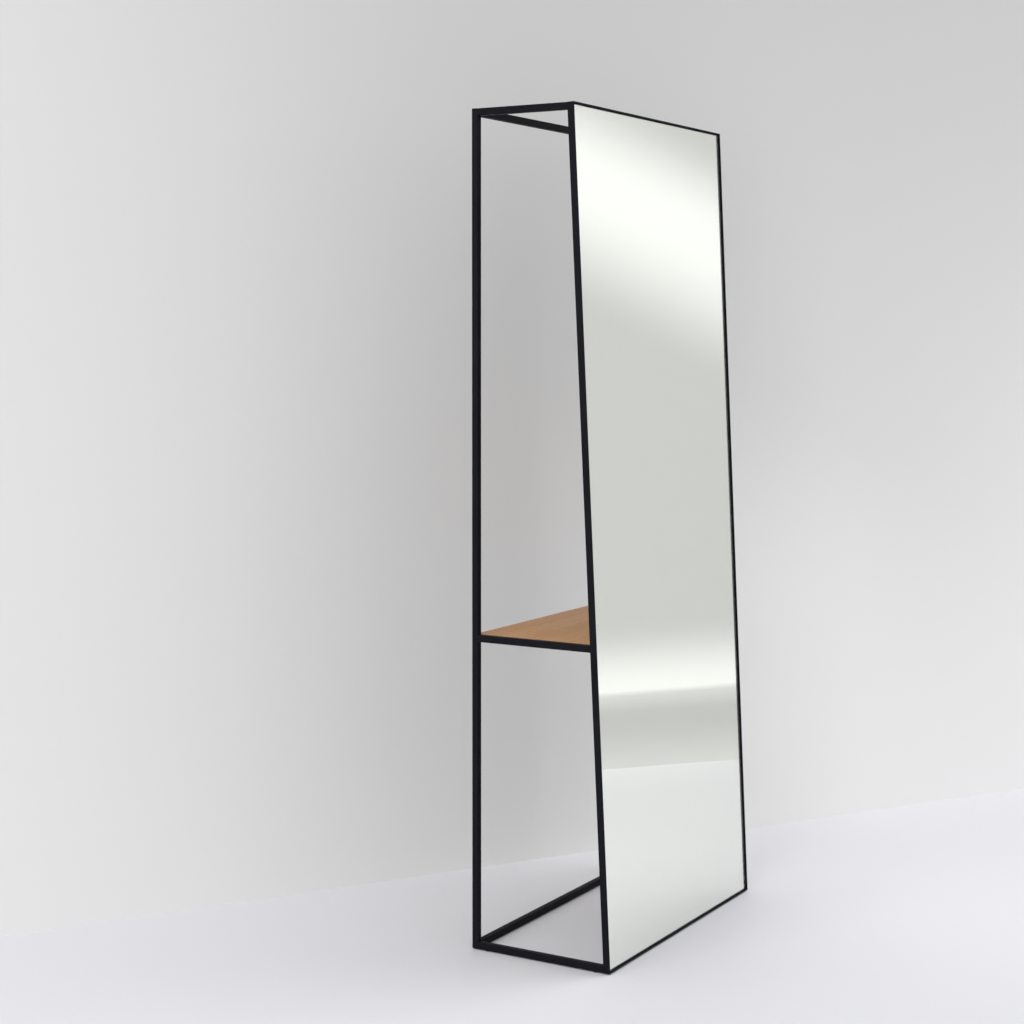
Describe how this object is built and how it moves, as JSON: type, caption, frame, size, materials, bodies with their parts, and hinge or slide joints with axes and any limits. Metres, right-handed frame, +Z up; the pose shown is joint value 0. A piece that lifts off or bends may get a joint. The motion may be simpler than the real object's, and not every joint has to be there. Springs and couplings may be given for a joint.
{
  "type": "standing mirror with shelf",
  "caption": "Full-length mirror leaning back on an open square-tube steel stand, with one oak shelf behind the mirror.",
  "frame": {"origin": "on the floor under the middle of the stand's overall width and depth", "axes": "+Z up, along the height; the mirror faces -Y and leans back towards +Y; +X to the right as seen from the front"},
  "size_m": [0.71, 0.338, 1.8],
  "materials": {
    "powder_coat": "fine satin black powder coat",
    "oak": "matt clear lacquer",
    "mirror": "silvered float glass",
    "hardboard": "black-faced hardboard",
    "foam_tape": "closed-cell foam tape",
    "black_screw": "black zinc plated",
    "nylon": "moulded nylon"
  },
  "bodies": {
    "root": {"board_screw_bottom_1": "black_screw", "board_screw_bottom_2": "black_screw", "board_screw_left_1": "black_screw", "board_screw_left_2": "black_screw", "board_screw_left_3": "black_screw", "board_screw_left_4": "black_screw", "board_screw_left_5": "black_screw", "board_screw_right_1": "black_screw", "board_screw_right_2": "black_screw", "board_screw_right_3": "black_screw", "board_screw_right_4": "black_screw", "board_screw_right_5": "black_screw", "board_screw_top_1": "black_screw", "board_screw_top_2": "black_screw", "bottom_side_rail_left": "powder_coat", "bottom_side_rail_right": "powder_coat", "floor_glide_front_left": "nylon", "floor_glide_front_right": "nylon", "floor_glide_rear_left": "nylon", "floor_glide_rear_right": "nylon", "mirror_board": "hardboard", "mirror_frame_bottom": "powder_coat", "mirror_frame_left": "powder_coat", "mirror_frame_right": "powder_coat", "mirror_frame_top": "powder_coat", "mirror_pane": "mirror", "mirror_tape_1": "foam_tape", "mirror_tape_2": "foam_tape", "mirror_tape_3": "foam_tape", "mirror_tape_4": "foam_tape", "mirror_tape_5": "foam_tape", "rear_frame_bottom": "powder_coat", "rear_frame_left": "powder_coat", "rear_frame_right": "powder_coat", "rear_frame_top": "powder_coat", "shelf_bearer_1": "powder_coat", "shelf_bearer_2": "powder_coat", "shelf_bearer_3": "powder_coat", "shelf_board": "oak", "shelf_rail_left": "powder_coat", "shelf_rail_right": "powder_coat", "shelf_screw_1_left": "black_screw", "shelf_screw_1_right": "black_screw", "shelf_screw_2_left": "black_screw", "shelf_screw_2_right": "black_screw", "shelf_screw_3_left": "black_screw", "shelf_screw_3_right": "black_screw", "top_side_rail_left": "powder_coat", "top_side_rail_right": "powder_coat"}
  },
  "joints": []
}
